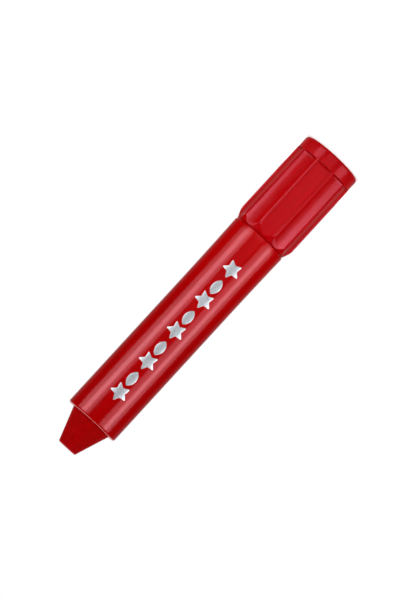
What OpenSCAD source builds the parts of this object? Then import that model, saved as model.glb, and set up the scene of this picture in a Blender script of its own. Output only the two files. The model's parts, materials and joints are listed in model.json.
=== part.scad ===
// Jumbo twist-up crayon: a wax stick in a glossy barrel, fed out by a fluted knob at the rear.
// It stands on the knob's flat end: z = 0 is that end, +Z is the axis, and the wax tip is on top.
// Turning the knob turns a two-start feed screw, and a keyed cup carries the wax along the barrel.

/* [Barrel] */
// Radius of the barrel's straight front stretch
barrel_r = 8.2; // [8.1:0.05:8.5]
// Radius at the barrel's rear edge, after its slight flare
barrel_rear_r = 8.41; // [8.2:0.01:8.8]
// Height of the barrel's rear edge
barrel_z0 = 29.8; // [29.8:0.05:30.2]
// Height where the flare has died out and the straight stretch begins
barrel_straight_z = 52; // [45:1:60]
// Height of the barrel's mouth
barrel_z1 = 97.3; // [97.2:0.1:100]
// Rounding of the barrel's front edge
barrel_edge_r = 0.7; // [0.3:0.1:1]

/* [Wax] */
// Radius of the wax stick
wax_r = 6.3; // [6.25:0.01:6.3]
// Radius of the flat at the wax tip
tip_r = 2.9; // [2:0.1:4]
// Height of the wax tip as the crayon is drawn
tip_z = 107; // [105:0.5:110]
// Rounding of the edge of the tip's flat
tip_edge_r = 0.5; // [0.2:0.1:0.8]

/* [Knob] */
// Radius of the knob over its ribs
knob_r = 9.18; // [9:0.02:9.6]
// Height of the knob's front edge
knob_z1 = 29.68; // [29.2:0.02:29.68]
// Radius of the knob's front edge, at the seam
knob_seam_r = 8.1; // [7.9:0.05:8.3]
// Number of flutes around the knob
flutes = 10; // [6:1:12]
// Distance from the axis to the middle of each flute's floor
flute_floor = 8.25; // [8.2:0.05:8.6]
// Radius of the shallow hollow of each flute's floor
flute_hollow_r = 12; // [11:1:60]
// Width of the rib left between two flutes
rib_w = 0.65; // [0.4:0.05:1.5]
// Length of the shoulder, from where it starts to curve to the front edge
shoulder_h = 3.6; // [3:0.1:5]
// Radius of the curve where the shoulder starts
shoulder_r = 4; // [2:0.1:5]
// Height of the plain band below the flutes
band_h = 3.9; // [3:0.1:6]
// Rounding of the knob's rear edge
knob_edge_r = 0.8; // [0.3:0.1:1]

/* [Feed screw] */
// Travel of the wax for one turn of the knob
lead = 8; // [6:1:12]
// Root radius of the screw
screw_root_r = 1.7; // [1.5:0.1:2]
// Crest radius of the screw
screw_crest_r = 2.6; // [2.3:0.1:2.6]
// Free gap between the screw and the nut
thread_gap = 0.18; // [0.15:0.01:0.25]
// How far the wax draws back from where it is drawn
retract = 12; // [10:1:12]
// How far the wax feeds out from where it is drawn
advance = 42; // [30:1:42]

/* [Foil] */
// Thickness of the metallic foil on the barrel
foil_t = 0.02; // [0.02:0.01:0.1]
// Height of the middle of the foil pattern
foil_z = 64.5; // [62:0.5:67]
// Turn of the pattern round the barrel from its -Y side
foil_turn = -2.8; // [-30:0.1:30]
// Length of the whole pattern
foil_length = 50; // [40:1:52]
// Number of stars in the row
foil_stars = 5; // [3:1:6]
// Radius of each star
foil_star_r = 2.9; // [1.5:0.1:3]
// Length of the leaf between two stars
foil_leaf_l = 4.8; // [2:0.1:5]
// Width of the leaf between two stars
foil_leaf_w = 2.6; // [1:0.1:4]

/* [Hidden] */
$fn = 96;
eps = 0.01;
// How far a cutter reaches past what it cuts
over = 1;
// Gap all round a piece that is pressed into another
press_gap = 0.03;

// Barrel and guide tube
liner_or = 7.05;
liner_ir = 6.45;
barrel_ir = 7.08;
mouth_r = 6.4;
lip_h = 1.4;
flare_steps = 10;
rear_soft = 0.25;
mouth_soft = 0.25;
liner_z1 = barrel_z1 - lip_h;
skirt_z0 = 6.6;
skirt_ir = 5.85;
bulkhead_z = 22;
bulkhead_top = 24.4;
boss_z0 = 15;
boss_r = 4.4;
journal_r = 2.9;
journal_gap = 0.06;

// Foil: the radius of a star's notches as a share of its arms
star_inner = 0.5;

// Knob
knob_bore = 7.12;
cavity_z0 = 5;
web_z0 = 3;
recess_r = 7;
plug_h = 1.6;
plug_boss_r = 4.6;
drive_r = 2.9;
drive_gap = 0.04;
bore_lead = 0.3;
recess_lead = 0.2;
flute_pitch = 360 / flutes;
flute_half_w = PI * knob_r / flutes - rib_w / 2;
band_step = 0.03;
shoulder_deg = 20.5;
seam_soft = 0.15;

// Rings on the guide tube's skirt
snap_z = 10.4;
snap_h = 1.1;
snap_groove_r = 6.6;
snap_ir = 6.63;
snap_or = 7.5;
snap_gap_deg = 40;
snap_play = 0.05;
seal_z = 18.5;
seal_groove_r = 6.2;
seal_groove_h = 1.1;
seal_wire_r = 0.44;

// Cup, nut and keys
cup_z0 = 37.4;
cup_h = 10;
cup_z1 = cup_z0 + cup_h;
cup_wall_r = 5.75;
cup_floor_z = 42.6;
nut_h = 4;
nut_r = 4.55;
screw_clear = 0.3;
key_w = 2;
key_r = 6.9;
key_root = 1;
key_z0 = cup_z0 + 2;
key_h = 6;
slot_gap = 0.15;
stop_gap = 0.3;

// Screw
screw_z1 = 86;
collar_h = 1.4;
journal_z1 = bulkhead_top + 1;
bore_r = 2.9;
bore_z1 = 99;
bore_point_h = 1.2;
screw_points = 20;
slices_per_turn = 22;

// Points of an arc about c, from angle a0 to a1
function arc(c, r, a0, a1, n = 8) =
    [for (i = [0:n]) c + r * [cos(a0 + (a1 - a0) * i / n), sin(a0 + (a1 - a0) * i / n)]];

// Barrel radius at height z: straight at the front, with a parabolic flare to the rear edge
function barrel_radius(z) =
    let (share = max(0, (barrel_straight_z - z) / (barrel_straight_z - barrel_z0)))
    barrel_r + (barrel_rear_r - barrel_r) * share * share;

// Side line of the barrel from its rear to the start of the front rounding, moved out by grow
function barrel_side(grow) = concat(
    [for (i = [0:flare_steps])
        let (z = barrel_z0 + rear_soft + (barrel_straight_z - barrel_z0 - rear_soft) * i / flare_steps)
        [barrel_radius(z) + grow, z]],
    [[barrel_r + grow, barrel_z1 - barrel_edge_r]]
);

// The same points in the opposite order
function reverse(points) = [for (i = [len(points) - 1:-1:0]) points[i]];

// Outline of the two-lobed screw: the root radius plus a smooth lobe on each side
function lobed(grow) =
    [for (i = [0:screw_points - 1])
        let (a = 360 * i / screw_points,
             r = screw_root_r + (screw_crest_r - screw_root_r) * pow(cos(a), 2) + grow)
        r * [cos(a), sin(a)]];

// Left-hand thread of the given height, always in step with the same helix about the axis
module helix(z0, h, grow) {
    turns = h / lead;
    slices = ceil(turns * slices_per_turn);
    translate([0, 0, z0])
        rotate([0, 0, -360 * z0 / lead])
            linear_extrude(h, twist = 360 * turns, slices = slices, $fn = screw_points)
                polygon(lobed(grow));
}

// Plain tube between two heights
module tube(r_out, r_in, z0, z1) {
    translate([0, 0, z0])
        difference() {
            cylinder(r = r_out, h = z1 - z0);
            translate([0, 0, -over])
                cylinder(r = r_in, h = z1 - z0 + 2 * over);
        }
}

// Outer shell of the barrel: flared, with a rounded front edge and a lip round the wax
module barrel() {
    outline = concat(
        [[barrel_ir, barrel_z0], [barrel_radius(barrel_z0) - rear_soft, barrel_z0]],
        barrel_side(0),
        arc([barrel_r - barrel_edge_r, barrel_z1 - barrel_edge_r], barrel_edge_r, 0, 90),
        [[mouth_r + mouth_soft, barrel_z1], [mouth_r, barrel_z1 - mouth_soft]],
        [[mouth_r, liner_z1], [barrel_ir, liner_z1]]
    );
    color("crimson")
        rotate_extrude()
            polygon(outline);
}

// Five-pointed star; its notches lie at a fixed share of its arms' length
module star(size) {
    polygon([for (i = [0:9])
        let (r = i % 2 == 0 ? size : size * star_inner)
        r * [cos(36 * i), sin(36 * i)]]);
}

// Leaf with a pointed end each way: two arcs that meet
module leaf(length, width) {
    r = (length * length + width * width) / (4 * width);
    half = asin(length / (2 * r));
    polygon(concat(
        arc([0, width / 2 - r], r, 90 - half, 90 + half),
        arc([0, r - width / 2], r, 270 - half, 270 + half)
    ));
}

// Flat art of the foil, with x along the barrel: stars in a row, and a leaf between each two
module foil_art() {
    star_back = foil_star_r * cos(36);
    step = (foil_length - foil_star_r - star_back) / (foil_stars - 1);
    first = -foil_length / 2 + foil_star_r;
    for (i = [0:foil_stars - 1])
        translate([first + i * step, 0])
            rotate([0, 0, 180])
                star(foil_star_r);
    for (i = [0:foil_stars - 2])
        translate([first + i * step + (step - foil_star_r + star_inner * foil_star_r) / 2, 0])
            leaf(foil_leaf_l, foil_leaf_w);
}

// Hot-stamped foil: a thin skin on the barrel, only where the flat art covers it
module barrel_foil() {
    color("silver")
        intersection() {
            rotate_extrude()
                polygon(concat(barrel_side(0), reverse(barrel_side(foil_t))));
            rotate([0, 0, foil_turn])
                translate([0, -barrel_r / 2, foil_z])
                    rotate([90, 90, 0])
                        linear_extrude(height = barrel_r)
                            foil_art();
        }
}

// Guide tube: lines the barrel, keys the cup with two slots, and carries the knob on its skirt
module guide_tube() {
    color("whitesmoke")
        difference() {
            union() {
                tube(liner_or, liner_ir, bulkhead_top - eps, liner_z1);
                tube(liner_or, skirt_ir, skirt_z0, bulkhead_z + eps);
                tube(liner_or, journal_r + journal_gap, bulkhead_z, bulkhead_top);
                tube(boss_r, journal_r + journal_gap, boss_z0, bulkhead_z + eps);
            }
            tube(liner_or + over, snap_groove_r, snap_z, snap_z + snap_h);
            tube(liner_or + over, seal_groove_r, seal_z - seal_groove_h / 2, seal_z + seal_groove_h / 2);
            key_slots();
        }
}

// The two straight slots that the cup's keys run in; their ends are the stops
module key_slots() {
    z0 = key_z0 - retract - stop_gap;
    z1 = key_z0 + key_h + advance + stop_gap;
    width = key_w + 2 * slot_gap;
    for (side = [-1, 1])
        translate([side > 0 ? liner_ir - over : -liner_or - over, -width / 2, z0])
            cube([liner_or - liner_ir + 2 * over, width, z1 - z0]);
}

// Split ring that snaps into the knob and keeps it on the barrel
module snap_ring() {
    color("gainsboro")
        rotate([0, 0, 90 + snap_gap_deg / 2])
            rotate_extrude(angle = 360 - snap_gap_deg)
                translate([snap_ir, snap_z + snap_play])
                    square([snap_or - snap_ir, snap_h - 2 * snap_play]);
}

// Rubber ring that gives the knob its drag
module seal_ring() {
    color("dimgray")
        translate([0, 0, seal_z])
            rotate_extrude()
                translate([seal_groove_r + seal_wire_r, 0])
                    circle(r = seal_wire_r, $fn = 32);
}

// Outer form of the knob before its flutes are cut: band, body, eased shoulder, seam edge
module knob_blank() {
    band_r = knob_r - band_step;
    outline = concat(
        [[0, 0]],
        arc([band_r - knob_edge_r, knob_edge_r], knob_edge_r, -90, 0),
        [[band_r, band_h], [knob_r, band_h]],
        arc([knob_r - shoulder_r, knob_z1 - shoulder_h], shoulder_r, 0, shoulder_deg),
        [[knob_seam_r + seam_soft / 2, knob_z1 - seam_soft], [knob_seam_r - seam_soft, knob_z1]],
        [[0, knob_z1]]
    );
    rotate_extrude()
        polygon(outline);
}

// One flute: a shallow hollow between two straight walls, cut straight along the axis
module flute_cutter() {
    height = knob_z1 - band_h + over;
    translate([0, 0, band_h])
        intersection() {
            translate([flute_floor + flute_hollow_r, 0, 0])
                cylinder(r = flute_hollow_r, h = height);
            translate([flute_floor - over, -flute_half_w, 0])
                cube([knob_r - flute_floor + 2 * over, 2 * flute_half_w, height]);
        }
}

// Knob: fluted shell with a web across it that the screw drives
module knob() {
    color("firebrick")
        difference() {
            knob_blank();
            for (i = [0:flutes - 1])
                rotate([0, 0, -90 + i * flute_pitch])
                    flute_cutter();
            translate([0, 0, cavity_z0])
                cylinder(r = knob_bore, h = knob_z1);
            translate([0, 0, knob_z1 - bore_lead])
                cylinder(r1 = knob_bore, r2 = knob_bore + bore_lead, h = bore_lead + eps);
            translate([0, 0, snap_z - 2 * snap_play])
                cylinder(r = snap_or + snap_play, h = snap_h + 4 * snap_play);
            translate([0, 0, -over])
                cylinder(r = recess_r, h = web_z0 + over);
            translate([0, 0, -eps])
                cylinder(r1 = recess_r + recess_lead, r2 = recess_r, h = recess_lead);
            translate([0, 0, web_z0 - over])
                cylinder(r = drive_r, h = cavity_z0 - web_z0 + 2 * over, $fn = 6);
        }
}

// Plug pressed into the rear of the knob; its socket grips the end of the screw
module end_plug() {
    plug_r = recess_r - press_gap;
    color("darkred")
        difference() {
            union() {
                cylinder(r1 = plug_r - recess_lead, r2 = plug_r, h = recess_lead);
                translate([0, 0, recess_lead - eps])
                    cylinder(r = plug_r, h = plug_h - recess_lead + eps);
                translate([0, 0, plug_h - eps])
                    cylinder(r = plug_boss_r, h = web_z0 - plug_h + eps);
            }
            translate([0, 0, plug_h])
                cylinder(r = drive_r, h = web_z0, $fn = 6);
        }
}

// Feed screw: hexagonal drive end, bearing collar, round journal, then the two-start thread
module feed_screw() {
    color("ivory")
        union() {
            translate([0, 0, plug_h + eps])
                cylinder(r = drive_r - drive_gap, h = cavity_z0 - plug_h, $fn = 6);
            translate([0, 0, cavity_z0])
                cylinder(r = boss_r, h = collar_h);
            translate([0, 0, cavity_z0 + collar_h - eps])
                cylinder(r = journal_r, h = journal_z1 - cavity_z0 - collar_h + eps);
            helix(journal_z1 - eps, screw_z1 - journal_z1 + eps, 0);
        }
}

// Wax stick: straight, with a blunt cone in front, a neck in the cup and a bore for the screw
module wax_stick() {
    half_angle = atan((wax_r - tip_r) / (tip_z - barrel_z1));
    neck_r = cup_wall_r - press_gap;
    tip_arc_r = tip_r - tip_edge_r * tan((90 - half_angle) / 2);
    outline = concat(
        [[bore_r, cup_floor_z], [neck_r, cup_floor_z], [neck_r, cup_z1]],
        [[wax_r, cup_z1], [wax_r, barrel_z1]],
        arc([tip_arc_r, tip_z - tip_edge_r], tip_edge_r, half_angle, 90),
        [[0, tip_z], [0, bore_z1 + bore_point_h], [bore_r, bore_z1]]
    );
    color("darkred")
        rotate_extrude()
            polygon(outline);
}

// Cup that carries the wax, with two keys that run in the guide tube's slots
module stick_cup() {
    color("linen")
        difference() {
            union() {
                translate([0, 0, cup_z0])
                    cylinder(r = wax_r, h = cup_h);
                intersection() {
                    tube(key_r, wax_r - key_root, key_z0, key_z0 + key_h);
                    translate([-key_r - over, -key_w / 2, key_z0])
                        cube([2 * (key_r + over), key_w, key_h]);
                }
            }
            translate([0, 0, cup_floor_z])
                cylinder(r = cup_wall_r, h = cup_h);
            translate([0, 0, cup_z0 - over])
                cylinder(r = screw_crest_r + screw_clear, h = cup_h);
            translate([0, 0, cup_z0 - over])
                cylinder(r = nut_r + press_gap, h = nut_h + over, $fn = 6);
        }
}

// Hexagonal nut held in the cup; its two-start hole rides on the screw
module drive_nut() {
    color("steelblue")
        difference() {
            translate([0, 0, cup_z0])
                cylinder(r = nut_r, h = nut_h, $fn = 6);
            helix(cup_z0 - over, nut_h + 2 * over, thread_gap);
        }
}

barrel();
barrel_foil();
guide_tube();
snap_ring();
seal_ring();
knob();
end_plug();
feed_screw();
wax_stick();
stick_cup();
drive_nut();
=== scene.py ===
# %% [markdown]
# # A jumbo twist-up crayon
# The crayon stands on the flat end of its fluted knob, with its wax tip up the +Z axis. Every
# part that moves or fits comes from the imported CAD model, which is loaded first and never
# altered. The parts that the eye rests on - the barrel, the knob, the wax, the foil - and the
# threads inside are made again here as smooth surfaces, to the CAD model's own sizes.

# %% Load the fixed frame
import json
import math

import bpy
import numpy as np
from mathutils import Matrix, Vector

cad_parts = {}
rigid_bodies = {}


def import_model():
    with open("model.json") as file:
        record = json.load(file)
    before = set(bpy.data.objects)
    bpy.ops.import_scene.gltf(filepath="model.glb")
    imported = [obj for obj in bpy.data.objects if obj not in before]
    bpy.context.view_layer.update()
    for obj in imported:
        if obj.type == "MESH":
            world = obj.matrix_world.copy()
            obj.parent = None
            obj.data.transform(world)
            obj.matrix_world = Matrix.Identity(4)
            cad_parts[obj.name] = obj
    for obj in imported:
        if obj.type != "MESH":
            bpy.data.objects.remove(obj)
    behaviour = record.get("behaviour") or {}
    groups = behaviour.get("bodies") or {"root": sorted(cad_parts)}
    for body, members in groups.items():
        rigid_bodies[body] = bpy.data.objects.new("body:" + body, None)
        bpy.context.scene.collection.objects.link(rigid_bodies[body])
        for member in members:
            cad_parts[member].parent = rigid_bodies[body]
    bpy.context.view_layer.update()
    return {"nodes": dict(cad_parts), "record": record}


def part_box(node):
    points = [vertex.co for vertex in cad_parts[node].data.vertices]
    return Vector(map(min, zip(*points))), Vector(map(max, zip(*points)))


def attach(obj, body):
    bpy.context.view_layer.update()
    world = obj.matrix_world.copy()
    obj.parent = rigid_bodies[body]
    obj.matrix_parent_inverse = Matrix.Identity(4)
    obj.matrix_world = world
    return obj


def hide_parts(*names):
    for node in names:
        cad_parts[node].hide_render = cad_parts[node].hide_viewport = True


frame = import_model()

MM = 0.001


# %% Read the driving sizes off the frame
def radius_of(node):
    """Largest distance from the axis that a round node reaches along X, in metres."""
    low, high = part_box(node)
    return max(high.x, -low.x)


def heights_of(node):
    """Lowest and highest point of a node, in metres."""
    low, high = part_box(node)
    return low.z, high.z


barrel_z0, barrel_z1 = heights_of("barrel")
barrel_rear_r = radius_of("barrel")
grip = next(m for m in frame["record"]["mounts"] if m["name"] == "barrel_grip")
barrel_r = grip["dims"]["r_mm"] * MM
knob_z1 = heights_of("knob")[1]
knob_r = radius_of("knob")
tip_z = heights_of("wax_stick")[1]
wax_r = radius_of("wax_stick")
print(f"barrel {barrel_z0 / MM:.2f}-{barrel_z1 / MM:.2f} mm high, radius {barrel_r / MM:.2f} mm; "
      f"knob radius {knob_r / MM:.2f} mm; tip at {tip_z / MM:.1f} mm")

# %% [markdown]
# ## The camera
# A product shot of something this small is taken from far away with a long lens, so that its two
# ends look nearly the same size. The camera stands a metre off, a few degrees above the crayon's
# middle, so that the tip end comes slightly nearer. It is rolled, so that the standing crayon
# runs across the frame corner to corner. The object itself is never tilted: only the camera is.

# %% Place the camera
VIEW_DISTANCE = 1.0045
VIEW_ELEVATION = math.radians(4.7)
TIP_ON_SCREEN = Vector((-0.6762, -0.7367))
FRAME_HEIGHT = 163.2 * MM
CENTRE_OFFSET = Vector((2.28, 2.05)) * MM
SENSOR = 36.0
AIM_HEIGHT = 49.96 * MM

aim = Vector((0, 0, AIM_HEIGHT))
ahead = Vector((0, math.cos(VIEW_ELEVATION), -math.sin(VIEW_ELEVATION)))
axis_up = Vector((0, math.sin(VIEW_ELEVATION), math.cos(VIEW_ELEVATION)))
side = ahead.cross(axis_up)
screen_right = TIP_ON_SCREEN.y * side + TIP_ON_SCREEN.x * axis_up
screen_up = -TIP_ON_SCREEN.x * side + TIP_ON_SCREEN.y * axis_up

camera_data = bpy.data.cameras.new("long_lens")
camera_data.sensor_width = SENSOR
camera_data.lens = SENSOR * VIEW_DISTANCE / FRAME_HEIGHT
camera = bpy.data.objects.new("camera", camera_data)
place = Matrix((screen_right, screen_up, -ahead)).transposed().to_4x4()
place.translation = (aim - VIEW_DISTANCE * ahead
                     - CENTRE_OFFSET.x * screen_right - CENTRE_OFFSET.y * screen_up)
camera.matrix_world = place
bpy.context.scene.collection.objects.link(camera)
bpy.context.scene.camera = camera
print(f"lens {camera_data.lens:.1f} mm at {VIEW_DISTANCE} m")

# %% [markdown]
# ## One way to make every turned piece
# Barrel, knob, wax, plug, screw and nut are all, roughly, turned on one axis. Each can be
# described by an outline that a lathe tool would follow, and by how the radius changes round the
# axis at each step of it. Blender's Screw or Spin modifier makes plain turned shapes, but it
# can't cut a flute or a thread. A grid of points can: rows follow the outline, columns go round,
# and any radius may depend on both. So one helper takes two arrays, radius and height, and makes
# a closed skin of them.


# %% Helper: a closed skin from radius and height
def turned(name, radius, height, angle, closed_outline=True):
    """A skin whose point at row i, column j has radius[i, j], height[i, j] and angle[j].

    x = radius * cos(angle), y = radius * sin(angle), z = height. With closed_outline the last row
    joins the first one, as on a ring. Otherwise the first and last rows are on the axis and become
    single points. The outline runs so that, seen with the axis up and the radius to the right, the
    solid lies on its left, which makes the faces look outward.
    """
    rows, columns = np.broadcast_shapes(radius.shape, (1, angle.size))
    radius = np.broadcast_to(radius, (rows, columns))
    height = np.broadcast_to(height, (rows, columns))
    points = np.stack([radius * np.cos(angle), radius * np.sin(angle), height], axis=-1)
    points = points.reshape(-1, 3)
    index = np.arange(rows * columns).reshape(rows, columns)
    around = np.roll(index, -1, axis=1)
    if closed_outline:
        upper, upper_around = np.roll(index, -1, axis=0), np.roll(around, -1, axis=0)
        quads = np.stack([index, around, upper_around, upper], axis=-1).reshape(-1, 4)
        return skin(name, points, quads, np.empty((0, 3), int))
    points = np.concatenate([points, [points[0], points[-1]]])
    quads = np.stack([index[1:-2], around[1:-2], around[2:-1], index[2:-1]], axis=-1).reshape(-1, 4)
    first, last = len(points) - 2, len(points) - 1
    fan_a = np.stack([np.full(columns, first), around[1], index[1]], axis=-1)
    fan_b = np.stack([np.full(columns, last), index[-2], around[-2]], axis=-1)
    return skin(name, points, quads, np.concatenate([fan_a, fan_b]))


def skin(name, points, quads, triangles):
    """A mesh object from whole arrays; points that no face uses are dropped."""
    used, renamed = np.unique(np.concatenate([quads.ravel(), triangles.ravel()]),
                              return_inverse=True)
    points = points[used]
    corners = renamed.astype(np.int32)
    starts = np.concatenate([np.arange(len(quads)) * 4,
                             len(quads) * 4 + np.arange(len(triangles)) * 3])
    mesh = bpy.data.meshes.new(name)
    mesh.vertices.add(len(points))
    mesh.vertices.foreach_set("co", points.astype(np.float32).ravel())
    mesh.loops.add(len(corners))
    mesh.loops.foreach_set("vertex_index", corners)
    mesh.polygons.add(len(starts))
    mesh.polygons.foreach_set("loop_start", starts.astype(np.int32))
    mesh.update(calc_edges=True)
    mesh.validate()
    mesh.shade_smooth()
    piece = bpy.data.objects.new(name, mesh)
    bpy.context.scene.collection.objects.link(piece)
    return piece


# %% Helpers: outlines and soft steps
def arc(centre, radius, start, end, steps=10):
    """Points of an arc as an array of (r, z) rows; the angles are in degrees."""
    turn = np.radians(np.linspace(start, end, steps))
    return np.stack([centre[0] + radius * np.cos(turn), centre[1] + radius * np.sin(turn)], axis=-1)


def line(start, end, steps=2):
    """Evenly spaced points of a straight line, as an array of (r, z) rows."""
    return np.linspace(start, end, steps)


def smooth_step(x):
    """0 below 0, 1 above 1, and an S-curve between: x * x * (3 - 2 x)."""
    x = np.clip(x, 0, 1)
    return x * x * (3 - 2 * x)


def soft_positive(x, softness):
    """max(x, 0) with a rounded corner: half of x + root(x^2 + softness^2) - softness."""
    return 0.5 * (x + np.sqrt(x * x + softness * softness)) - 0.5 * softness


def even_angles(count):
    """Equally spaced angles for a full turn."""
    return np.arange(count) * 2 * np.pi / count


# %% [markdown]
# ## The barrel
# The barrel is an injection-moulded sleeve: straight for the front two thirds, then very slightly
# flared, so that it meets the wider knob. Its front edge is rounded and has a lip that closes
# round the wax. It could be a cylinder with a Bevel modifier, but the flare is a parabola and the
# lip has an inner face that shows when the wax is drawn back, so the whole outline is written
# down once and turned.

# %% Turn the barrel
FLARE_TOP = 52.0 * MM
EDGE_ROUND = 0.70 * MM
REAR_ROUND = 0.22 * MM
BARREL_BORE = 7.08 * MM
MOUTH_R = 6.4 * MM
LIP = 1.4 * MM
BORE_START = 1.0 * MM
MOUTH_ROUND = 0.22 * MM


def barrel_side(z):
    """Outer radius at height z: constant above FLARE_TOP, and growing with the square of the
    distance below it, until it reaches the rear radius at the rear edge."""
    depth = np.clip((FLARE_TOP - z) / (FLARE_TOP - barrel_z0), 0, 1)
    return barrel_r + (barrel_rear_r - barrel_r) * depth * depth


side_z = np.linspace(barrel_z0 + REAR_ROUND, barrel_z1 - EDGE_ROUND, 60)
rear_edge_r = barrel_side(barrel_z0 + REAR_ROUND)
barrel_outline = np.concatenate([
    arc((rear_edge_r - REAR_ROUND, barrel_z0 + REAR_ROUND), REAR_ROUND, -90, 0, 6),
    np.stack([barrel_side(side_z), side_z], axis=-1)[1:],
    arc((barrel_r - EDGE_ROUND, barrel_z1 - EDGE_ROUND), EDGE_ROUND, 0, 90, 10)[1:],
    arc((MOUTH_R + MOUTH_ROUND, barrel_z1 - MOUTH_ROUND), MOUTH_ROUND, 90, 180, 6),
    [(MOUTH_R, barrel_z1 - LIP), (BARREL_BORE, barrel_z1 - LIP)],
    line((BARREL_BORE, barrel_z1 - LIP - BORE_START), (BARREL_BORE, barrel_z0), 12),
])
barrel = turned("barrel_shell", barrel_outline[:, :1], barrel_outline[:, 1:], even_angles(256))
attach(barrel, "barrel")
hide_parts("barrel")
print("barrel_shell:", len(barrel.data.polygons), "faces")

# %% [markdown]
# ## The fluted knob
# The knob has ten shallow flutes, hollowed a little so that a finger finds them, and only a
# narrow rib is left between two. A flute starts at a crisp step above a plain band, runs straight
# along the axis, and fades out on the sloping shoulder: there the cone dips below the flute's
# floor, which gives the flute its pointed end. That point needs no drawing. It appears by itself
# when the radius is the smaller of two surfaces, the turned blank and the floor. Boolean cuts
# would do the same but leave knife edges, so the two surfaces are blended softly instead.

# %% Work out the knob's flutes
FLUTES = 10
FLUTE_FLOOR = 8.25 * MM
FLUTE_HOLLOW = 12.0 * MM
RIB_TOP = 0.42 * MM
RIB_FLANK = 0.24 * MM
BAND = 3.9 * MM
BAND_STEP = 0.03 * MM
STEP_LENGTH = 0.14 * MM
SHOULDER = 3.6 * MM
SHOULDER_CURVE = 4.0 * MM
SHOULDER_DEG = 20.5
SEAM_R = 8.1 * MM
SEAM_ROUND = 0.15 * MM
REAR_EDGE = 0.8 * MM
BLEND = 0.05 * MM

pitch = 2 * np.pi / FLUTES
rib_share = np.array([0.0, 0.018, 0.032, 0.038, 0.045, 0.052, 0.059, 0.066, 0.073, 0.080,
                      0.09, 0.11, 0.14, 0.19, 0.25, 0.32, 0.41, 0.5])
one_flute = np.unique(np.concatenate([rib_share, 1 - rib_share[1:]]))[:-1]
flute_turns = np.arange(FLUTES)[:, None] + one_flute[None, :]
knob_angle = (-np.pi / 2 - pitch / 2 + flute_turns * pitch).ravel()


def flute_cut(blank, z, angle):
    """How far the flutes cut into the blank, for each row and each angle.

    The floor is the near side of a circle whose centre lies a distance C out from the axis and
    whose radius is R. A ray at an angle t from the flute's middle meets it at a distance of
    C * cos(t) - root(R^2 - C^2 * sin(t)^2). The cut is the blank minus the floor, softly kept above
    zero. It fades to nothing on the rib and below the band's edge."""
    off = np.abs((angle + np.pi / 2 + pitch / 2) % pitch - pitch / 2)
    centre = FLUTE_FLOOR + FLUTE_HOLLOW
    floor = centre * np.cos(off) - np.sqrt(FLUTE_HOLLOW ** 2 - (centre * np.sin(off)) ** 2)
    from_rib = (pitch / 2 - off) * knob_r
    on_flute = smooth_step((from_rib - RIB_TOP / 2) / RIB_FLANK)
    past_band = smooth_step((z - BAND) / STEP_LENGTH)
    return on_flute * past_band * soft_positive(blank - floor, BLEND)


# %% Helpers: hexagons and stations
def hex_radius(corner_r, angle):
    """Radius of a hexagon in each direction.

    It is the half width, corner_r * cos(30 deg), over the cosine from the nearest side's middle."""
    off = (angle + 2 * np.pi) % (np.pi / 3) - np.pi / 6
    return corner_r * math.cos(math.pi / 6) / np.cos(off)


def stations(pairs, angle):
    """Arrays of radius and height from (radius, height) pairs; a radius may vary with the angle."""
    radius = np.stack([np.broadcast_to(r, angle.shape) for r, _ in pairs])
    return radius, np.array([[z] for _, z in pairs])


# %% Turn the knob's blank and cut the flutes
PLUG_RECESS = 7.0 * MM
WEB = (3.0 * MM, 5.0 * MM)
DRIVE_HEX = 2.9 * MM
KNOB_BORE = 7.12 * MM
SNAP_GROOVE = (10.3 * MM, 11.6 * MM, 7.56 * MM)
BORE_LEAD = 0.3 * MM
BORE_STATION = 20.0 * MM
RECESS_ROUND = 0.12 * MM
RECESS_STATION = 1.5 * MM
BAND_MARGIN = 0.1 * MM

band_r = knob_r - BAND_STEP
shoulder = arc((knob_r - SHOULDER_CURVE, knob_z1 - SHOULDER), SHOULDER_CURVE, 0, SHOULDER_DEG, 12)
outer = np.concatenate([
    arc((PLUG_RECESS + RECESS_ROUND, RECESS_ROUND), RECESS_ROUND, 180, 270, 4),
    arc((band_r - REAR_EDGE, REAR_EDGE), REAR_EDGE, -90, 0, 12),
    line((band_r, REAR_EDGE), (band_r, BAND - BAND_MARGIN), 8)[1:],
    line((band_r + BAND_STEP, BAND), (knob_r, BAND + STEP_LENGTH), 8),
    line((knob_r, BAND + STEP_LENGTH), shoulder[0], 40)[1:-1],
    shoulder,
    line(shoulder[-1], (SEAM_R + SEAM_ROUND * 0.4, knob_z1 - SEAM_ROUND), 18)[1:],
    arc((SEAM_R - SEAM_ROUND, knob_z1 - SEAM_ROUND), SEAM_ROUND, 20, 90, 5)[1:],
])
groove_low, groove_high, groove_r = SNAP_GROOVE
drive_hole = hex_radius(DRIVE_HEX, knob_angle)
inner_r, inner_z = stations([
    (KNOB_BORE + BORE_LEAD, knob_z1), (KNOB_BORE, knob_z1 - BORE_LEAD), (KNOB_BORE, BORE_STATION),
    (KNOB_BORE, groove_high), (groove_r, groove_high), (groove_r, groove_low),
    (KNOB_BORE, groove_low), (KNOB_BORE, WEB[1]), (drive_hole, WEB[1]), (drive_hole, WEB[0]),
    (PLUG_RECESS, WEB[0]), (PLUG_RECESS, RECESS_STATION),
], knob_angle)

blank_r, blank_z = outer[:, :1] * np.ones((1, knob_angle.size)), outer[:, 1:]
blank_r = blank_r - flute_cut(blank_r, blank_z, knob_angle[None, :])
knob = turned("knob_shell", np.concatenate([blank_r, inner_r]), np.concatenate([blank_z, inner_z]),
              knob_angle)
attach(knob, "knob")
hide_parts("knob")
straight = (outer[:, 1] > BAND + STEP_LENGTH) & (outer[:, 1] < knob_z1 - SHOULDER)
print("knob_shell:", len(knob.data.polygons), "faces; deepest cut",
      f"{(knob_r - blank_r[straight].min()) / MM:.2f} mm")

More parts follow.
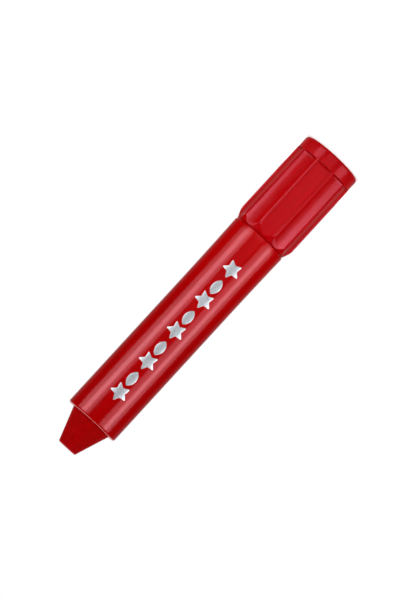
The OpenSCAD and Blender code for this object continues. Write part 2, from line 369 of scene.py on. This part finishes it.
# %% [markdown]
# ## The wax
# The stick is cast wax: a straight rod with a blunt cone in front, whose edges are slightly soft
# because wax never fills a sharp corner. It is bored from behind for the feed screw and its foot
# sits in the cup. The surface of cast wax isn't perfectly even, so the radius also swells and
# dips by a few hundredths of a millimetre in long, slow waves. A Displace modifier could do that;
# here it is one sum of cosines.

# %% Turn the wax
CUP_TOP = heights_of("stick_cup")[1]
NECK_R = 5.72 * MM
NECK_Z = 42.6 * MM
SCREW_HOLE_R = 2.9 * MM
SCREW_HOLE_TOP = 99.0 * MM
TIP_R = 2.9 * MM
TIP_ROUND = 0.5 * MM
TIP_INSET = 0.72 * TIP_ROUND
BASE_ROUND = 1.2 * MM
BASE_SUNK = 0.1 * MM
HOLE_CONE = 1.2 * MM
HOLE_STATION = 80.0 * MM
WAX_WAVE = 0.02 * MM
WAVE_RISE = (5.0 * MM, 3.1 * MM)
WAVE_FADE_IN = (4.0 * MM, 1.0 * MM)

cone_deg = math.degrees(math.atan((wax_r - TIP_R) / (tip_z - barrel_z1)))
tip_arc = arc((TIP_R - TIP_INSET, tip_z - TIP_ROUND), TIP_ROUND, cone_deg, 90, 8)
base_arc = arc((wax_r - BASE_ROUND, barrel_z1 - BASE_SUNK), BASE_ROUND, 0, cone_deg, 6)
wax_outline = np.concatenate([
    [(0, SCREW_HOLE_TOP + HOLE_CONE), (SCREW_HOLE_R, SCREW_HOLE_TOP)],
    line((SCREW_HOLE_R, HOLE_STATION), (SCREW_HOLE_R, NECK_Z), 8),
    line((NECK_R, NECK_Z), (NECK_R, CUP_TOP), 4),
    line((wax_r, CUP_TOP), base_arc[0], 40),
    base_arc[1:],
    line(base_arc[-1], tip_arc[0], 26)[1:-1],
    tip_arc,
    line((tip_arc[-1][0] * 0.75, tip_z), (0, tip_z), 5),
])
wax_angle = even_angles(192)

# %% Add slow waves to the wax and make its skin
wax_r_rows, wax_z_rows = wax_outline[:, :1], wax_outline[:, 1:]
above_cup = smooth_step((wax_z_rows - CUP_TOP) / WAVE_FADE_IN[0])
off_tip = smooth_step((wax_r_rows - TIP_R * 0.9) / WAVE_FADE_IN[1])
outside = above_cup * off_tip * (wax_r_rows > SCREW_HOLE_R * 1.01)
slow_waves = (np.cos(3 * wax_angle[None, :] + wax_z_rows / WAVE_RISE[0])
              + np.cos(5 * wax_angle[None, :] - wax_z_rows / WAVE_RISE[1])) / 2
wavy_r = wax_r_rows - WAX_WAVE * outside * (1 + slow_waves) / 2
wax = turned("wax_body", wavy_r, wax_z_rows, wax_angle, False)
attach(wax, "stick")
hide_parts("wax_stick")
print("wax_body:", len(wax.data.polygons), "faces; cone half-angle", round(cone_deg, 1), "degrees")

# %% [markdown]
# ## The foil pattern
# Silver foil is hot-stamped on the barrel: a heated die presses a metallised film, so each figure
# is a very thin skin with a slightly sunk rim. Five stars run along the barrel with a leaf
# between each two. They could be flat meshes on a Shrinkwrap modifier, but each figure has one
# simple formula, its reach as a function of direction, so it is worked out flat and then rolled
# onto the barrel by plain geometry.

# %% Outlines of the star and the leaf
OUTLINE_STEPS = 240
STAR_SOFTNESS = 3.0
LEAF_SOFTNESS = 2.0
outline_turn = even_angles(OUTLINE_STEPS)


def soften(reach, degrees):
    """Rounds an outline's corners: each reach becomes its neighbours' mean, with weights on a bell
    curve exp(-(offset / degrees)^2 / 2)."""
    offset = np.arange(-OUTLINE_STEPS // 2, OUTLINE_STEPS // 2) * 360 / OUTLINE_STEPS
    bell = np.exp(-0.5 * (offset / degrees) ** 2)
    spectrum = np.fft.fft(reach) * np.fft.fft(np.fft.ifftshift(bell / bell.sum()))
    return np.fft.ifft(spectrum).real


def star_reach(arm, notch_share):
    """Reach of a five-pointed star in each direction.

    Between an arm's tip, at a, and the next notch, at b, the edge is a straight line, so the
    reach is a * b * sin(36 deg) / (a * sin(t) + b * sin(36 deg - t))."""
    fifth = 2 * np.pi / 5
    t = np.abs((outline_turn + fifth / 2) % fifth - fifth / 2)
    notch = arm * notch_share
    edge = arm * notch * math.sin(fifth / 2) / (arm * np.sin(t) + notch * np.sin(fifth / 2 - t))
    return soften(edge, STAR_SOFTNESS)


def leaf_reach(length, width):
    """Reach of a pointed leaf in each direction: the nearer of two circles that meet at its points.

    A ray from a point a distance d off a circle's centre leaves it at
    d * cos + root(R^2 - d^2 * sin^2)."""
    circle = (length ** 2 + width ** 2) / (4 * width)
    off = circle - width / 2
    half_chord = np.sqrt(circle ** 2 - (off * np.cos(outline_turn)) ** 2)
    reaches = [-off * s * np.sin(outline_turn) + half_chord for s in (1, -1)]
    return soften(np.minimum(*reaches), LEAF_SOFTNESS)


# %% Roll one figure onto the barrel
STAR_ARM = 2.9 * MM
STAR_NOTCH = 0.5
STARS = 5
LEAF = (4.8 * MM, 2.6 * MM)
FOIL_LENGTH = 50.0 * MM
FOIL_MIDDLE = 64.5 * MM
FOIL_TURN = math.radians(-2.8)
FOIL_THICK = 0.018 * MM
FOIL_SUNK = 0.004 * MM
RIM_POWER = 24
RINGS = np.array([0.0, 0.2, 0.4, 0.6, 0.75, 0.86, 0.92, 0.96, 0.985, 1.0])


def foil_figure(reach, middle_z, bottom):
    """Points of one figure: rings from its middle out to its outline, rolled round the barrel.

    Along = share * reach * cos runs down the barrel from middle_z; across = share * reach * sin
    becomes an angle, across / radius. The top stands FOIL_THICK proud in the middle. Towards the
    rim it rolls down with share to the power RIM_POWER, until it is FOIL_SUNK deep in the
    plastic."""
    share = RINGS[:, None]
    along = share * reach[None, :] * np.cos(outline_turn)
    across = share * reach[None, :] * np.sin(outline_turn)
    z = middle_z - along
    rim = share ** RIM_POWER
    lift = -FOIL_SUNK if bottom else FOIL_THICK * (1 - rim) - FOIL_SUNK * rim
    radius = barrel_side(z) + lift
    turn = -np.pi / 2 + FOIL_TURN - across / barrel_r
    return np.stack([radius * np.cos(turn), radius * np.sin(turn), z], axis=-1)


def foil_faces():
    """Faces of one figure, whose top and bottom share the rim: quads between rings, and a fan of
    triangles in the middle."""
    rings, steps = len(RINGS), OUTLINE_STEPS
    top = np.arange(rings * steps).reshape(rings, steps)
    bottom = top + rings * steps
    bottom[-1] = top[-1]
    quads, fans = [], []
    for sheet, flip in ((top, True), (bottom, False)):
        around = np.roll(sheet, -1, axis=1)
        ring = np.stack([sheet[1:-1], sheet[2:], around[2:], around[1:-1]], axis=-1).reshape(-1, 4)
        fan = np.stack([np.full(steps, sheet[0, 0]), sheet[1], around[1]], axis=-1)
        quads.append(ring[:, ::-1] if flip else ring)
        fans.append(fan[:, ::-1] if flip else fan)
    return np.concatenate(quads), np.concatenate(fans)


# %% Lay out the stars and leaves
star, leaf = star_reach(STAR_ARM, STAR_NOTCH), leaf_reach(*LEAF)
star_step = (FOIL_LENGTH - STAR_ARM * (1 + math.cos(math.pi / 5))) / (STARS - 1)
first_star = FOIL_MIDDLE + FOIL_LENGTH / 2 - STAR_ARM
leaf_offset = (star_step - STAR_ARM * (1 - STAR_NOTCH)) / 2
star_up = np.roll(star, OUTLINE_STEPS // 2)
figures = [(star_up, first_star - i * star_step) for i in range(STARS)]
figures += [(leaf, first_star - i * star_step - leaf_offset) for i in range(STARS - 1)]
foil_points = np.concatenate([
    np.concatenate([foil_figure(reach, z, False), foil_figure(reach, z, True)]).reshape(-1, 3)
    for reach, z in figures])
one_quads, one_fans = foil_faces()
stride = 2 * len(RINGS) * OUTLINE_STEPS
shifts = (np.arange(len(figures)) * stride)[:, None, None]
foil = skin("foil_pattern", foil_points, (one_quads + shifts).reshape(-1, 4),
            (one_fans + shifts).reshape(-1, 3))
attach(foil, "barrel")
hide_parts("barrel_foil")
print("foil_pattern:", len(figures), "figures,", len(foil.data.polygons), "faces")

# %% [markdown]
# ## The feed screw and its nut
# Inside, a two-start screw turns with the knob. Its thread is coarse and rounded, as on any
# moulded twist-up tube. The CAD thread is made of facets. Here the same thread is one smooth
# surface: the radius depends on the angle plus a share of the height, so the lobes climb as they
# go round.

# %% Turn the screw
LEAD = 8.0 * MM
ROOT_R = 1.7 * MM
CREST_R = 2.6 * MM
HEX_STUB = 2.86 * MM
STUB_BEVEL = 0.3 * MM
COLLAR_R = 4.4 * MM
COLLAR_HEIGHT = 1.4 * MM
COLLAR_BEVEL = (0.1 * MM, 0.15 * MM)
JOURNAL_R = 2.9 * MM
JOURNAL_END = 25.0 * MM
JOURNAL_BEVEL = (0.2 * MM, 0.25 * MM)
THREAD_START = 25.4 * MM
THREAD_BEVEL = 0.3 * MM


def thread_radius(z, angle, grow=0.0):
    """Root radius plus two smooth lobes, cos(angle + 2 pi z / LEAD) squared, plus grow."""
    return ROOT_R + (CREST_R - ROOT_R) * np.cos(angle + 2 * np.pi * z / LEAD) ** 2 + grow


screw_angle = even_angles(72)
foot_z, screw_top = heights_of("feed_screw")
collar_z = WEB[1]
collar_top = collar_z + COLLAR_HEIGHT
stub = hex_radius(HEX_STUB, screw_angle)
low_bevel, high_bevel = COLLAR_BEVEL
plain_r, plain_z = stations([
    (0, foot_z), (0.93 * stub, foot_z), (stub, foot_z + STUB_BEVEL), (stub, collar_z),
    (COLLAR_R - low_bevel, collar_z), (COLLAR_R, collar_z + low_bevel),
    (COLLAR_R, collar_top - high_bevel), (COLLAR_R - high_bevel, collar_top),
    (JOURNAL_R, collar_top), (JOURNAL_R, JOURNAL_END),
    (JOURNAL_R - JOURNAL_BEVEL[0], JOURNAL_END + JOURNAL_BEVEL[1]),
], screw_angle)
thread_z = np.linspace(THREAD_START, screw_top - THREAD_BEVEL, 260)[:, None]
end_r, end_z = stations([
    (0.8 * thread_radius(screw_top, screw_angle), screw_top), (0, screw_top),
], screw_angle)
screw_radius = np.concatenate([plain_r, thread_radius(thread_z, screw_angle[None, :]), end_r])
screw_height = np.concatenate([plain_z, thread_z, end_z])
screw = turned("feed_screw_thread", screw_radius, screw_height, screw_angle, False)
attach(screw, "knob")
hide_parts("feed_screw")
print("feed_screw_thread:", len(screw.data.polygons), "faces")

# %% Turn the nut
NUT_CORNER = 4.55 * MM
NUT_BEVEL = 0.15 * MM
NUT_END_SHARE = 0.97
THREAD_GAP = 0.18 * MM

nut_z0, nut_z1 = heights_of("drive_nut")
nut_angle = even_angles(120)
nut_side = hex_radius(NUT_CORNER, nut_angle)
nut_end = NUT_END_SHARE * nut_side
nut_r, nut_z = stations([
    (nut_end, nut_z0), (nut_side, nut_z0 + NUT_BEVEL), (nut_side, nut_z1 - NUT_BEVEL),
    (nut_end, nut_z1),
], nut_angle)
hole_z = np.linspace(nut_z1, nut_z0, 24)[:, None]
hole_r = thread_radius(hole_z, nut_angle[None, :], THREAD_GAP)
nut = turned("drive_nut_body", np.concatenate([nut_r, hole_r]), np.concatenate([nut_z, hole_z]),
             nut_angle)
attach(nut, "stick")
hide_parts("drive_nut")
print("drive_nut_body:", len(nut.data.polygons), "faces")

# %% [markdown]
# ## The end plug
# A disc closes the rear of the knob. Its face is dished by a tenth of a millimetre, so that the
# crayon stands on the knob's rim, and has the small round scar where the plastic entered the
# mould.

# %% Turn the end plug
PLUG_R = 6.97 * MM
PLUG_FACE = 1.6 * MM
PLUG_BOSS_R = 4.6 * MM
PLUG_BEVEL = 0.2 * MM
DISH = 0.12 * MM
DISH_R = 5.6 * MM
DISH_FADE = 0.5 * MM
SCAR_R = 0.9 * MM
SCAR_DEPTH = 0.1 * MM
SOCKET_R = 2.9 * MM

plug_angle = even_angles(144)
socket = hex_radius(SOCKET_R, plug_angle)
scar_r = SCAR_R * np.array([0.0, 0.5, 0.85, 1.0, 1.15])
face_r = np.concatenate([scar_r, np.array([3.0, 5.0, 5.9, 6.2, 6.77]) * MM])
dish = DISH * (1 - smooth_step((face_r - DISH_R) / DISH_FADE))
face_z = dish + SCAR_DEPTH * (face_r < 0.9 * SCAR_R)
body_r, body_z = stations([
    (PLUG_R, PLUG_BEVEL), (PLUG_R, PLUG_FACE), (PLUG_BOSS_R, PLUG_FACE), (PLUG_BOSS_R, WEB[0]),
    (socket, WEB[0]), (socket, PLUG_FACE), (0, PLUG_FACE),
], plug_angle)
plug_radius = np.concatenate([face_r[:, None] * np.ones((1, plug_angle.size)), body_r])
plug_height = np.concatenate([face_z[:, None], body_z])
plug = turned("end_plug_disc", plug_radius, plug_height, plug_angle, False)
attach(plug, "knob")
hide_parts("end_plug")
print("end_plug_disc:", len(plug.data.polygons), "faces")


# %% [markdown]
# ## Finishes
# Each finish is a small node tree on Object coordinates, which are metres in the crayon's own
# frame, so a pattern has its real size and stays in place when a part moves. Painted images on UV
# maps could do it too, but noise has no seam and no fixed resolution, which suits turned pieces.
# Three things sell a material: a colour that isn't quite even, a roughness that isn't quite even,
# and a surface that isn't quite flat.

# %% Helpers for node trees
def new_finish(name):
    """A material with its Principled shader, and a function that adds a linked node to its tree."""
    material = bpy.data.materials.new(name)
    material.use_nodes = True
    tree = material.node_tree
    shader = next(n for n in tree.nodes if n.type == "BSDF_PRINCIPLED")
    coordinates = tree.nodes.new("ShaderNodeTexCoord")

    def add(kind, inputs=None, **settings):
        node = tree.nodes.new(kind)
        for key, value in settings.items():
            setattr(node, key, value)
        for key, value in (inputs or {}).items():
            if isinstance(value, bpy.types.NodeSocket):
                tree.links.new(value, node.inputs[key])
            else:
                node.inputs[key].default_value = value
        return node

    return material, tree, shader, coordinates.outputs["Object"], add


def stretched(add, position, scale):
    """Object coordinates times a scale for each axis, for a pattern that is longer one way."""
    return add("ShaderNodeMapping", {"Vector": position, "Scale": scale}).outputs["Vector"]


def noise(add, position, scale, detail=3.0, roughness=0.5):
    """Soft random pattern from 0 to 1; scale is how many blobs fit in a metre."""
    return add("ShaderNodeTexNoise", {"Vector": position, "Scale": scale, "Detail": detail,
                                      "Roughness": roughness}).outputs["Fac"]


def between(add, value, low, high):
    """The value, from 0.3 to 0.7, spread out to run from low to high."""
    return add("ShaderNodeMapRange", {"Value": value, "From Min": 0.3, "From Max": 0.7,
                                      "To Min": low, "To Max": high}).outputs["Result"]


def shade(add, value, dark, light):
    """A colour between dark and light."""
    mix = add("ShaderNodeMix", {"Factor": value}, data_type="RGBA")
    mix.inputs["A"].default_value = (*dark, 1)
    mix.inputs["B"].default_value = (*light, 1)
    return mix.outputs["Result"]


def bump(add, tree, shader, layers):
    """Chains bump layers, each a (height, distance in metres, strength), onto the shader."""
    normal = None
    for height, distance, strength in layers:
        inputs = {"Height": height, "Distance": distance, "Strength": strength}
        if normal is not None:
            inputs["Normal"] = normal
        normal = add("ShaderNodeBump", inputs).outputs["Normal"]
    tree.links.new(normal, shader.inputs["Normal"])


def wear(piece, material):
    """Puts one finish on a piece, in place of any that it had."""
    piece.data.materials.clear()
    piece.data.materials.append(material)


# %% [markdown]
# ### Glossy red plastic
# Barrel and knob are moulded in the same saturated red and polished by the mould. A polished
# moulding still has faint flow streaks along the draw, a slight orange-peel ripple that makes
# highlights waver, and a haze of rub marks, which only shows in the roughness.


# %% Glossy red plastic
def gloss_plastic(name, dark, light, roughness, ripple, sheen_tint):
    """Red plastic: streaked colour, uneven gloss, two sizes of ripple, and a tinted sheen."""
    material, tree, shader, position, add = new_finish(name)
    streaks = noise(add, stretched(add, position, (1, 1, 0.12)), 500, 3)
    colour = shade(add, between(add, streaks, 0, 1), dark, light)
    tree.links.new(colour, shader.inputs["Base Color"])
    haze = noise(add, stretched(add, position, (1, 1, 0.4)), 900, 5, 0.65)
    gloss = between(add, haze, roughness * 0.8, roughness * 1.25)
    tree.links.new(gloss, shader.inputs["Roughness"])
    bump(add, tree, shader, [
        (noise(add, position, 260, 2), 0.04 * MM, ripple),
        (noise(add, position, 2600, 2), 0.004 * MM, ripple),
    ])
    shader.inputs["IOR"].default_value = PLASTIC_IOR
    shader.inputs["Specular Tint"].default_value = (*sheen_tint, 1)
    return material


PLASTIC_IOR = 1.49
BARREL_SHEEN = (1.0, 0.40, 0.46)
KNOB_SHEEN = (1.0, 0.30, 0.42)
barrel_red = gloss_plastic("barrel_red", (0.375, 0.0002, 0.0006), (0.435, 0.0003, 0.0009),
                           0.17, 0.10, BARREL_SHEEN)
knob_red = gloss_plastic("knob_red", (0.378, 0.0002, 0.0010), (0.432, 0.0003, 0.0014),
                         0.18, 0.10, KNOB_SHEEN)
plug_red = gloss_plastic("plug_red", (0.320, 0.0002, 0.0006), (0.375, 0.0003, 0.0009),
                         0.30, 0.25, KNOB_SHEEN)
inner_red = gloss_plastic("inner_red", (0.350, 0.0002, 0.0008), (0.400, 0.0003, 0.0012),
                          0.34, 0.25, KNOB_SHEEN)
wear(barrel, barrel_red)
wear(knob, knob_red)
wear(plug, plug_red)

# %% [markdown]
# ### Wax
# Wax is deeper in colour than the plastic and barely shines: light goes a little way in before it
# comes back. It has faint drag lines along the stick from being pushed through the mouth, fine
# grain, and paler patches where it has been handled.


# %% Wax
def cast_wax(name, deep, pale):
    """Deep red wax: mottled colour, satin roughness, fine grain and faint lines along the stick."""
    material, tree, shader, position, add = new_finish(name)
    mottle = noise(add, position, 700, 5, 0.6)
    tree.links.new(shade(add, between(add, mottle, 0, 1), deep, pale), shader.inputs["Base Color"])
    patches = noise(add, position, 1500, 4, 0.6)
    tree.links.new(between(add, patches, 0.44, 0.58), shader.inputs["Roughness"])
    lines = noise(add, stretched(add, position, (1, 1, 0.05)), 2400, 3)
    grain = noise(add, position, 9000, 3, 0.7)
    bump(add, tree, shader, [(lines, 0.02 * MM, 0.35), (grain, 0.008 * MM, 0.5)])
    shader.inputs["Subsurface Weight"].default_value = 0.06
    shader.inputs["Subsurface Radius"].default_value = (1.2 * MM, 0.2 * MM, 0.2 * MM)
    shader.inputs["Subsurface Scale"].default_value = 1.0
    shader.inputs["IOR"].default_value = WAX_IOR
    shader.inputs["Specular IOR Level"].default_value = 0.2
    shader.inputs["Specular Tint"].default_value = (*WAX_SHEEN, 1)
    return material


WAX_IOR = 1.3
WAX_SHEEN = (1.0, 0.25, 0.32)
wear(wax, cast_wax("wax_red", (0.315, 0.0001, 0.0003), (0.405, 0.0002, 0.0005)))

# %% [markdown]
# ### Silver foil
# Hot-stamped foil is real metal, a few microns thick, on a film that takes up the plastic's
# grain. So it is metallic, but satin, and it glitters faintly from tiny flat spots.


# %% Silver foil
def stamped_foil(name):
    """Satin metal with a grain that is fine enough to sparkle."""
    material, tree, shader, position, add = new_finish(name)
    grain = noise(add, position, 2300, 4, 0.8)
    tree.links.new(shade(add, between(add, grain, 0, 1), (0.66, 0.70, 0.78), (0.95, 0.97, 1.0)),
                   shader.inputs["Base Color"])
    tree.links.new(between(add, grain, 0.26, 0.50), shader.inputs["Roughness"])
    bump(add, tree, shader, [
        (grain, 0.06 * MM, 0.8),
        (noise(add, position, 300, 2), 0.05 * MM, 0.3),
    ])
    shader.inputs["Metallic"].default_value = 0.9
    return material


wear(foil, stamped_foil("silver_foil"))

# %% [markdown]
# ### Plastics and rubber inside
# The cup, screw, nut and snap ring are moulded from cheap undyed plastic, which is milky, ivory or
# pale grey, with a waxy sheen and fine turning lines from the mould. The guide tube is red, so that
# no pale line shows in the seam between barrel and knob. The drag ring is black rubber, dull and
# slightly dusty.


# %% Inner plastics and rubber
def natural_plastic(name, dark, light, roughness):
    """Undyed moulded plastic: cloudy colour, satin gloss, and fine turning lines round the axis."""
    material, tree, shader, position, add = new_finish(name)
    cloud = noise(add, position, 420, 4, 0.55)
    tree.links.new(shade(add, between(add, cloud, 0, 1), dark, light), shader.inputs["Base Color"])
    haze = noise(add, position, 1600, 4, 0.6)
    tree.links.new(between(add, haze, roughness - 0.06, roughness + 0.08),
                   shader.inputs["Roughness"])
    turning = noise(add, stretched(add, position, (0.05, 0.05, 1)), 4500, 2)
    bump(add, tree, shader, [
        (turning, 0.01 * MM, 0.35),
        (noise(add, position, 5000, 2), 0.006 * MM, 0.4),
    ])
    shader.inputs["Subsurface Weight"].default_value = 0.08
    shader.inputs["Subsurface Radius"].default_value = (1.0 * MM, 1.0 * MM, 0.9 * MM)
    shader.inputs["Subsurface Scale"].default_value = 1.0
    return material


def soft_rubber(name):
    """Black rubber: uneven dull black with a dusty bloom and a moulded grain."""
    material, tree, shader, position, add = new_finish(name)
    bloom = noise(add, position, 1300, 5, 0.65)
    black = shade(add, between(add, bloom, 0, 1), (0.012, 0.012, 0.013), (0.045, 0.044, 0.042))
    tree.links.new(black, shader.inputs["Base Color"])
    tree.links.new(between(add, bloom, 0.62, 0.85), shader.inputs["Roughness"])
    bump(add, tree, shader, [(noise(add, position, 7000, 3, 0.6), 0.01 * MM, 0.6)])
    return material


# %% Dress the pieces inside
milky = natural_plastic("milky_plastic", (0.74, 0.73, 0.69), (0.84, 0.83, 0.80), 0.42)
ivory = natural_plastic("ivory_plastic", (0.76, 0.73, 0.64), (0.86, 0.84, 0.76), 0.38)
pale_grey = natural_plastic("pale_grey_plastic", (0.50, 0.52, 0.54), (0.60, 0.62, 0.64), 0.45)
nodes = frame["nodes"]
wear(nodes["guide_tube"], inner_red)
wear(nodes["stick_cup"], milky)
wear(nodes["snap_ring"], pale_grey)
wear(nodes["seal_ring"], soft_rubber("seal_rubber"))
wear(screw, ivory)
wear(nut, pale_grey)
print("finishes:", sorted(m.name for m in bpy.data.materials if m.users))

# %% [markdown]
# ## Floor and light
# The crayon stands on a plain pale floor in a white studio. Two tall softboxes stand left and
# right of the camera, each with a hot middle: a round, glossy barrel shows each as one soft band
# along its length, with the pure colour of the plastic between them. A softbox overhead whitens
# the floor and picks out the rounded front edge, and a dimmer one hangs high behind. The room in
# front is dark, which keeps the red deep, and the backdrop behind is bright, which draws the thin
# pale line along both sides of the barrel. The floor glows a little, more so away from the
# crayon, so that it runs into the white backdrop. It is left out of mirror reflections, because
# its pale image in the knob's band would drown the lamps.

# %% Lay the floor
FLOOR_RADIUS = 0.07
FLOOR_CORNERS = 96
GLOW_FROM, GLOW_TO = (0.010, 0.50), (0.05, 0.75)

round_about = even_angles(FLOOR_CORNERS)
rim = FLOOR_RADIUS * np.stack([np.cos(round_about), np.sin(round_about), 0 * round_about], axis=-1)
floor_mesh = bpy.data.meshes.new("studio_floor")
floor_mesh.from_pydata(rim.tolist(), [], [list(range(FLOOR_CORNERS))])
floor = bpy.data.objects.new("studio_floor", floor_mesh)
bpy.context.scene.collection.objects.link(floor)
print("studio_floor:", 2 * FLOOR_RADIUS, "m across")

# %% Paint the floor
floor_paint, tree, shader, position, add = new_finish("floor_paint")
mottle = noise(add, position, 40, 2)
pale = shade(add, mottle, (0.78, 0.78, 0.78), (0.81, 0.81, 0.81))
tree.links.new(pale, shader.inputs["Base Color"])
shader.inputs["Roughness"].default_value = 0.9
shader.inputs["Specular IOR Level"].default_value = 0.1
shader.inputs["Emission Color"].default_value = (1, 1, 1, 1)
from_axis = add("ShaderNodeVectorMath", {0: position}, operation="LENGTH").outputs["Value"]
floor_glow = add("ShaderNodeMapRange", {
    "Value": from_axis, "From Min": GLOW_FROM[0], "From Max": GLOW_TO[0],
    "To Min": GLOW_FROM[1], "To Max": GLOW_TO[1]}, interpolation_type="SMOOTHSTEP")
tree.links.new(floor_glow.outputs["Result"], shader.inputs["Emission Strength"])
wear(floor, floor_paint)
floor.visible_glossy = False

# %% [markdown]
# ### Softboxes
# A glossy barrel is a long round mirror, so what matters about a lamp is the angle at which it
# stands round the crayon, and how far up and down it goes. The camera looks down a little, so an
# upright wall shows it what hangs lower than the wall: that is why the lights go on below the
# floor. One big panel a side would do for a plain tube. Here each side is built of a few
# rectangles, one above the other: bright beside the crayon, dimmer higher up, so that the rounded
# mouth of the barrel doesn't burn out, and dimmer and narrower further down, where they show in
# the knob's flutes and band. A dim card, low in front, adds a little to what faces the camera.


# %% Helpers for lights
def area_light(name, spot, facing, width, height, radiance):
    """A rectangular light at a spot, which shines along facing.

    A flat light that glows evenly gives off pi * area * radiance watts."""
    data = bpy.data.lights.new(name, "AREA")
    data.shape = "RECTANGLE"
    data.size, data.size_y = width, height
    data.energy = math.pi * data.size * data.size_y * radiance
    lamp = bpy.data.objects.new(name, data)
    turn = facing.to_track_quat("-Z", "Y").to_matrix().to_4x4()
    lamp.matrix_world = Matrix.Translation(spot) @ turn
    bpy.context.scene.collection.objects.link(lamp)


def upright_light(name, from_deg, to_deg, bottom, top, distance, radiance):
    """A light that stands upright and spans two angles round the axis, from the camera's side."""
    middle = math.radians((from_deg + to_deg) / 2)
    half = math.radians(abs(to_deg - from_deg) / 2)
    outward = Vector((math.sin(middle), -math.cos(middle), 0))
    spot = distance * outward + Vector((0, 0, (bottom + top) / 2))
    area_light(name, spot, -outward, 2 * distance * math.tan(half), top - bottom, radiance)


# %% Hang the softboxes
SKIRT_BOTTOM = -0.3
SPLIT = -0.045
KEY_SPLIT = -0.030
MIDDLE_TOP = 0.155
SOFTBOX_TOP = 0.42
BOX_AWAY = 0.70
MIDDLE_AWAY = 0.64
UPRIGHT_LIGHTS = [  # name, two angles in degrees, bottom, top and distance in metres, radiance
    ("key_softbox", 28, 81, KEY_SPLIT, MIDDLE_TOP, BOX_AWAY, 3.0),
    ("key_upper", 28, 81, MIDDLE_TOP, SOFTBOX_TOP, BOX_AWAY, 1.5),
    ("key_middle", 42, 61, KEY_SPLIT, MIDDLE_TOP, MIDDLE_AWAY, 6.2),
    ("key_waist", 30, 66, SPLIT, KEY_SPLIT, BOX_AWAY, 5.0),
    ("key_skirt", 33, 60, SKIRT_BOTTOM, SPLIT, BOX_AWAY, 2.8),
    ("fill_softbox", -29, -82, SPLIT, MIDDLE_TOP, BOX_AWAY, 2.9),
    ("fill_upper", -29, -82, MIDDLE_TOP, SOFTBOX_TOP, BOX_AWAY, 1.5),
    ("fill_middle", -51, -67, SPLIT, MIDDLE_TOP, MIDDLE_AWAY, 6.0),
    ("fill_skirt", -40, -72, SKIRT_BOTTOM, SPLIT, BOX_AWAY, 2.4),
    ("front_card", -19, 19, -0.33, -0.006, 0.50, 0.85),
]
HIGH_SIZE = 0.9
HIGH_LIGHTS = [  # name, spot in metres, radiance
    ("top_softbox", Vector((0, 0.15, 0.9)), 3.0),
    ("back_softbox", Vector((0, 0.7, 0.75)), 0.9),
]

for row in UPRIGHT_LIGHTS:
    upright_light(*row)
for name, spot, radiance in HIGH_LIGHTS:
    area_light(name, spot, -spot, HIGH_SIZE, HIGH_SIZE, radiance)
print("lights:", len(UPRIGHT_LIGHTS) + len(HIGH_LIGHTS))

# %% [markdown]
# ### Backdrop
# The backdrop is the World. The camera sees it as plain white. The crayon sees a studio whose
# light depends only on direction: black in front, a soft glow that grows towards the back, and a
# bright patch straight behind, which lights the crayon's far side and hardly shows from the
# front. A panorama image could do it, but a few nodes are enough for so plain a room.

# %% Light the backdrop
GLOWS = [(0.25, 1.0, 0.22), (0.86, 1.0, 0.8)]  # starts and ends at these shares of +Y; strength

world = bpy.data.worlds.new("white_studio")
world.use_nodes = True
tree = world.node_tree
backdrop = tree.nodes["Background"]
backdrop.inputs["Color"].default_value = (1, 1, 1, 1)
backdrop.inputs["Strength"].default_value = 1.0
room = tree.nodes.new("ShaderNodeBackground")
room.inputs["Color"].default_value = (1, 1, 1, 1)
direction = tree.nodes.new("ShaderNodeTexCoord")
split = tree.nodes.new("ShaderNodeSeparateXYZ")
both = tree.nodes.new("ShaderNodeMath")
tree.links.new(direction.outputs["Generated"], split.inputs[0])
for slot, (start, end, strength) in enumerate(GLOWS):
    glow = tree.nodes.new("ShaderNodeMapRange")
    glow.interpolation_type = "SMOOTHSTEP"
    for socket, value in (("From Min", start), ("From Max", end),
                          ("To Min", 0.0), ("To Max", strength)):
        glow.inputs[socket].default_value = value
    tree.links.new(split.outputs["Y"], glow.inputs["Value"])
    tree.links.new(glow.outputs["Result"], both.inputs[slot])
tree.links.new(both.outputs[0], room.inputs["Strength"])
choose = tree.nodes.new("ShaderNodeMixShader")
rays = tree.nodes.new("ShaderNodeLightPath")
tree.links.new(rays.outputs["Is Camera Ray"], choose.inputs[0])
tree.links.new(room.outputs[0], choose.inputs[1])
tree.links.new(backdrop.outputs[0], choose.inputs[2])
tree.links.new(choose.outputs[0], tree.nodes["World Output"].inputs["Surface"])
bpy.context.scene.world = world
bpy.context.scene.view_settings.view_transform = "Standard"
print("backdrop glows:", len(GLOWS))
